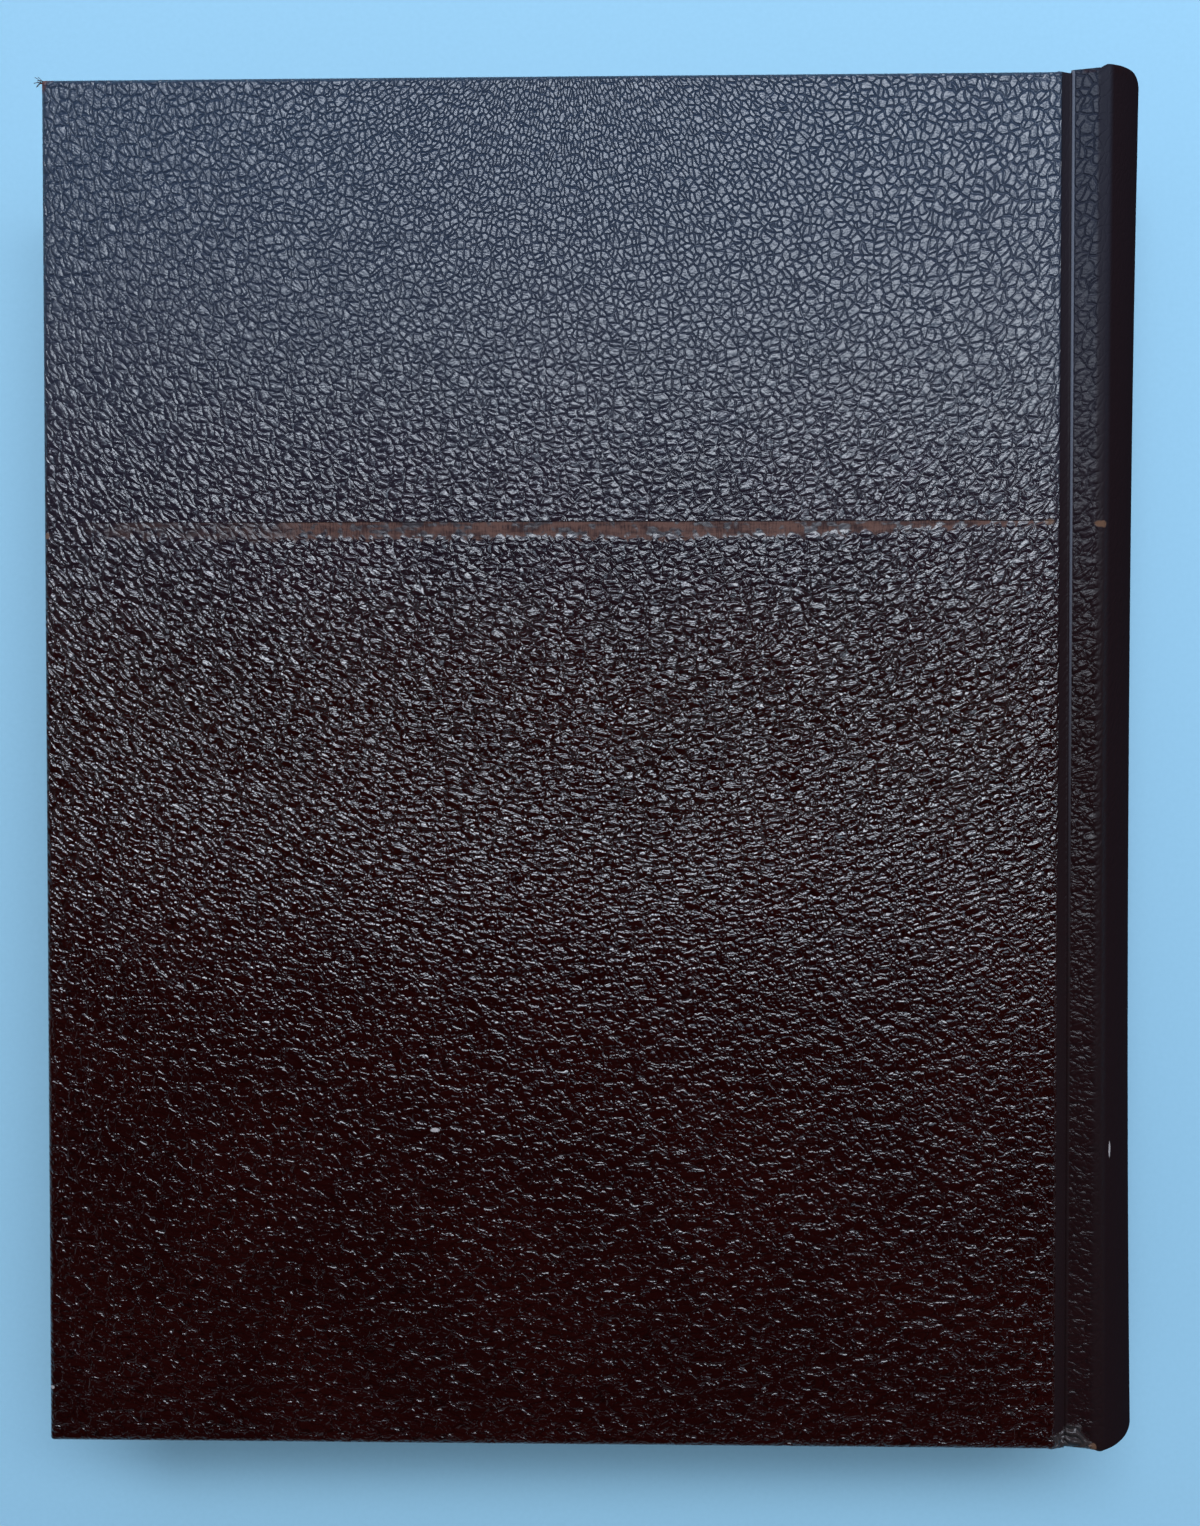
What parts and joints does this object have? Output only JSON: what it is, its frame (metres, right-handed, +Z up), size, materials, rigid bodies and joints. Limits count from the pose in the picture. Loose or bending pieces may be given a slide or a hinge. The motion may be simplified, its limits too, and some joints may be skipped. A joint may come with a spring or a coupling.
{
  "type": "leather-bound book",
  "caption": "Large antique book in plain pebble-grained leather, rounded and backed spine, lying closed, with both covers hinged at the joints",
  "frame": {"origin": "middle of the resting face, under the middle of the book's bounding box", "axes": "+X from the fore-edge to the spine, +Y from the tail to the head, +Z up from the front cover, which the book lies on, to the back cover"},
  "size_m": [0.2358, 0.293, 0.042],
  "materials": {
    "leather": "dark oxblood pebbled goatskin, semi-gloss, with a scuff and rubbed corners",
    "leaves": "aged matt edges",
    "endpaper": "plain aged matt paper",
    "millboard": "raw grey-brown board",
    "infill_card": "raw thin card",
    "spine_card": "raw thin card",
    "lining_cloth": "matt cloth and paper",
    "tape_linen": "matt linen tape",
    "headband_silk": "satin thread"
  },
  "bodies": {
    "text_block": {"leaves": "leaves", "spine_lining": "lining_cloth", "head_band": "headband_silk", "tail_band": "headband_silk", "spine_stiffener": "spine_card", "spine_leather": "leather", "front_flyleaf": "endpaper", "back_flyleaf": "endpaper", "sewing_tape_1": "tape_linen", "sewing_tape_2": "tape_linen", "sewing_tape_3": "tape_linen", "sewing_tape_4": "tape_linen", "sewing_tape_5": "tape_linen"},
    "back_cover": {"back_board": "millboard", "back_leather": "leather", "back_infill": "infill_card", "back_pastedown": "endpaper"},
    "front_cover": {"front_board": "millboard", "front_leather": "leather", "front_infill": "infill_card", "front_pastedown": "endpaper"}
  },
  "joints": [
    {"name": "back_cover_hinge", "type": "hinge", "parent": "text_block", "child": "back_cover", "pos_m": [0.09772, 0, 0.0423], "axis": [0, 1, 0], "range_deg": [0, 178]},
    {"name": "front_cover_hinge", "type": "hinge", "parent": "text_block", "child": "front_cover", "pos_m": [0.09772, 0, -0.0003], "axis": [0, -1, 0], "range_deg": [0, 178]}
  ]
}
